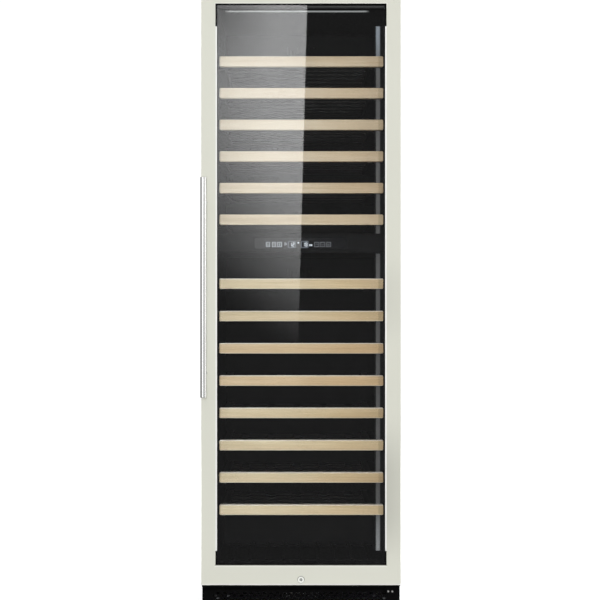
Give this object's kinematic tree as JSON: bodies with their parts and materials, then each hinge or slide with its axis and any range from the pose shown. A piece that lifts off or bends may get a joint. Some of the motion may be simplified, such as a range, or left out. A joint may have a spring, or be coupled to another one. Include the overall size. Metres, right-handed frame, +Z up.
{
  "type": "wine cooler",
  "caption": "Tall free-standing two-zone wine cooler with a framed tinted glass door, bar handle, key lock, sliding beech shelves and a perforated plinth.",
  "frame": {"origin": "on the floor, under the middle of the whole box", "axes": "+Z up, the door faces -Y, the door's hinges are on the right at +X"},
  "size_m": [0.595, 0.705, 1.86],
  "materials": {
    "cream_paint": "satin",
    "black_steel": "satin",
    "galvanised_steel": "satin",
    "insulation_foam": "matte",
    "tinted_glass": "gloss",
    "clear_glass": "gloss",
    "black_glass": "gloss",
    "stainless_steel": "satin",
    "bright_trim": "polished",
    "chrome": "polished",
    "aluminium": "satin",
    "black_rubber": "matte",
    "black_plastic": "satin",
    "white_plastic": "satin",
    "light_diffuser": "satin",
    "beech": "satin"
  },
  "bodies": {
    "cabinet": {"base_pan": "galvanised_steel", "cabinet_screws": "chrome", "compressor": "black_steel", "condenser_coil": "aluminium", "control_fascia": "black_glass", "drip_tray": "black_plastic", "duct_cover_lower": "black_plastic", "duct_cover_upper": "black_plastic", "evaporators": "aluminium", "fan_frames": "black_plastic", "floor_rack": "black_plastic", "hinge_bracket_bottom": "black_steel", "hinge_bracket_top": "black_steel", "inner_liner": "black_plastic", "insulation_foam": "insulation_foam", "kick_plate": "black_steel", "led_bars": "black_plastic", "led_diffusers": "light_diffuser", "lock_keeper": "galvanised_steel", "machine_cover": "galvanised_steel", "power_inlet": "black_plastic", "rear_panel": "galvanised_steel", "shelf_rails": "black_plastic", "side_panel_left": "black_steel", "side_panel_right": "black_steel", "top_panel": "black_steel", "zone_partition": "black_plastic"},
    "door": {"door_skin": "cream_paint", "door_inner_frame": "black_plastic", "outer_glass": "tinted_glass", "inner_glass": "clear_glass", "glass_spacer": "black_plastic", "glazing_trims": "bright_trim", "door_gasket": "black_rubber", "handle_bar": "stainless_steel", "handle_posts": "stainless_steel", "hinge_bushes": "white_plastic", "lock_body": "chrome"},
    "lock": {"lock_cylinder": "chrome"},
    "upper_fan": {"fan_rotor_upper": "black_plastic"},
    "lower_fan": {"fan_rotor_lower": "black_plastic"},
    "condenser_fan": {"fan_rotor_condenser": "black_plastic"},
    "foot_front_left_screw": {"foot_front_left": "black_plastic"},
    "foot_front_right_screw": {"foot_front_right": "black_plastic"},
    "foot_rear_left_screw": {"foot_rear_left": "black_plastic"},
    "foot_rear_right_screw": {"foot_rear_right": "black_plastic"},
    "sliding_shelf_01": {"shelf_01": "beech"},
    "sliding_shelf_02": {"shelf_02": "beech"},
    "sliding_shelf_03": {"shelf_03": "beech"},
    "sliding_shelf_04": {"shelf_04": "beech"},
    "sliding_shelf_05": {"shelf_05": "beech"},
    "sliding_shelf_06": {"shelf_06": "beech"},
    "sliding_shelf_07": {"shelf_07": "beech"},
    "sliding_shelf_08": {"shelf_08": "beech"},
    "sliding_shelf_09": {"shelf_09": "beech"},
    "sliding_shelf_10": {"shelf_10": "beech"},
    "sliding_shelf_11": {"shelf_11": "beech"},
    "sliding_shelf_12": {"shelf_12": "beech"},
    "sliding_shelf_13": {"shelf_13": "beech"},
    "sliding_shelf_14": {"shelf_14": "beech"}
  },
  "joints": [
    {"name": "door_hinge", "type": "hinge", "parent": "cabinet", "child": "door", "pos_m": [0.286, -0.275, 0.93], "axis": [0, 0, 1], "range_deg": [0, 120]},
    {"name": "lock_turn", "type": "hinge", "parent": "door", "child": "lock", "pos_m": [0, -0.283, 0.095], "axis": [0, 1, 0], "range_deg": [0, 90]},
    {"name": "upper_fan_spin", "type": "hinge", "parent": "cabinet", "child": "upper_fan", "pos_m": [0, 0.259, 1.738], "axis": [0, 1, 0], "continuous": true},
    {"name": "lower_fan_spin", "type": "hinge", "parent": "cabinet", "child": "lower_fan", "pos_m": [0, 0.259, 1], "axis": [0, 1, 0], "continuous": true},
    {"name": "condenser_fan_spin", "type": "hinge", "parent": "cabinet", "child": "condenser_fan", "pos_m": [-0.12, 0.199, 0.0755], "axis": [0, 1, 0], "continuous": true},
    {"name": "foot_front_left_turn", "type": "hinge", "parent": "cabinet", "child": "foot_front_left_screw", "pos_m": [-0.255, -0.203, 0.02], "axis": [0, 0, 1], "continuous": true},
    {"name": "foot_front_right_turn", "type": "hinge", "parent": "cabinet", "child": "foot_front_right_screw", "pos_m": [0.255, -0.203, 0.02], "axis": [0, 0, 1], "continuous": true},
    {"name": "foot_rear_left_turn", "type": "hinge", "parent": "cabinet", "child": "foot_rear_left_screw", "pos_m": [-0.255, 0.307, 0.02], "axis": [0, 0, 1], "continuous": true},
    {"name": "foot_rear_right_turn", "type": "hinge", "parent": "cabinet", "child": "foot_rear_right_screw", "pos_m": [0.255, 0.307, 0.02], "axis": [0, 0, 1], "continuous": true},
    {"name": "shelf_01_slide", "type": "slide", "parent": "cabinet", "child": "sliding_shelf_01", "axis": [0, -1, 0], "range_m": [0, 0.14]},
    {"name": "shelf_02_slide", "type": "slide", "parent": "cabinet", "child": "sliding_shelf_02", "axis": [0, -1, 0], "range_m": [0, 0.14]},
    {"name": "shelf_03_slide", "type": "slide", "parent": "cabinet", "child": "sliding_shelf_03", "axis": [0, -1, 0], "range_m": [0, 0.14]},
    {"name": "shelf_04_slide", "type": "slide", "parent": "cabinet", "child": "sliding_shelf_04", "axis": [0, -1, 0], "range_m": [0, 0.14]},
    {"name": "shelf_05_slide", "type": "slide", "parent": "cabinet", "child": "sliding_shelf_05", "axis": [0, -1, 0], "range_m": [0, 0.14]},
    {"name": "shelf_06_slide", "type": "slide", "parent": "cabinet", "child": "sliding_shelf_06", "axis": [0, -1, 0], "range_m": [0, 0.14]},
    {"name": "shelf_07_slide", "type": "slide", "parent": "cabinet", "child": "sliding_shelf_07", "axis": [0, -1, 0], "range_m": [0, 0.14]},
    {"name": "shelf_08_slide", "type": "slide", "parent": "cabinet", "child": "sliding_shelf_08", "axis": [0, -1, 0], "range_m": [0, 0.14]},
    {"name": "shelf_09_slide", "type": "slide", "parent": "cabinet", "child": "sliding_shelf_09", "axis": [0, -1, 0], "range_m": [0, 0.14]},
    {"name": "shelf_10_slide", "type": "slide", "parent": "cabinet", "child": "sliding_shelf_10", "axis": [0, -1, 0], "range_m": [0, 0.14]},
    {"name": "shelf_11_slide", "type": "slide", "parent": "cabinet", "child": "sliding_shelf_11", "axis": [0, -1, 0], "range_m": [0, 0.14]},
    {"name": "shelf_12_slide", "type": "slide", "parent": "cabinet", "child": "sliding_shelf_12", "axis": [0, -1, 0], "range_m": [0, 0.14]},
    {"name": "shelf_13_slide", "type": "slide", "parent": "cabinet", "child": "sliding_shelf_13", "axis": [0, -1, 0], "range_m": [0, 0.14]},
    {"name": "shelf_14_slide", "type": "slide", "parent": "cabinet", "child": "sliding_shelf_14", "axis": [0, -1, 0], "range_m": [0, 0.14]}
  ],
  "couplings": [
    {"joint": "shelf_01_slide", "follows": "door_hinge", "m_per_rad": 0.066844},
    {"joint": "shelf_02_slide", "follows": "door_hinge", "m_per_rad": 0.066844},
    {"joint": "shelf_03_slide", "follows": "door_hinge", "m_per_rad": 0.066844},
    {"joint": "shelf_04_slide", "follows": "door_hinge", "m_per_rad": 0.066844},
    {"joint": "shelf_05_slide", "follows": "door_hinge", "m_per_rad": 0.066844},
    {"joint": "shelf_06_slide", "follows": "door_hinge", "m_per_rad": 0.066844},
    {"joint": "shelf_07_slide", "follows": "door_hinge", "m_per_rad": 0.066844},
    {"joint": "shelf_08_slide", "follows": "door_hinge", "m_per_rad": 0.066844},
    {"joint": "shelf_09_slide", "follows": "door_hinge", "m_per_rad": 0.066844},
    {"joint": "shelf_10_slide", "follows": "door_hinge", "m_per_rad": 0.066844},
    {"joint": "shelf_11_slide", "follows": "door_hinge", "m_per_rad": 0.066844},
    {"joint": "shelf_12_slide", "follows": "door_hinge", "m_per_rad": 0.066844},
    {"joint": "shelf_13_slide", "follows": "door_hinge", "m_per_rad": 0.066844},
    {"joint": "shelf_14_slide", "follows": "door_hinge", "m_per_rad": 0.066844}
  ]
}
